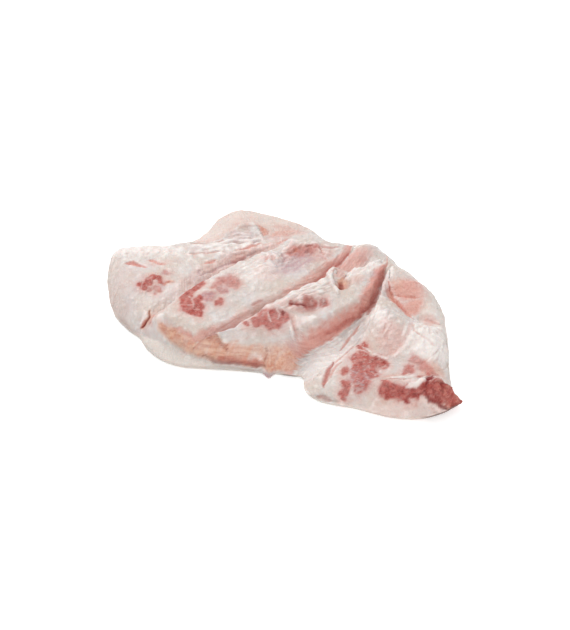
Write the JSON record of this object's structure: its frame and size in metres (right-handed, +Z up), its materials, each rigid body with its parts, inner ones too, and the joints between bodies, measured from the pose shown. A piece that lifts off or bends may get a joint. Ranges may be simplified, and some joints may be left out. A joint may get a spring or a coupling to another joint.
{
  "type": "raw pork jowl",
  "caption": "Raw pork jowl lying on its rind: a thick slab of pale fat with slanting cuts, pink banks and patches of red lean, and a folded flap of skin at its far edge.",
  "frame": {"origin": "centre of the bounding box in plan, on the surface that the jowl lies on", "axes": "+X along the slab to the picture's right, +Y away from the camera, +Z up out of the rind"},
  "size_m": [0.27, 0.221, 0.0384],
  "materials": {
    "raw_pork": "moist raw pork: cream fat, pink banks and red lean"
  },
  "bodies": {
    "root": {"jowl": "raw_pork"}
  },
  "joints": []
}
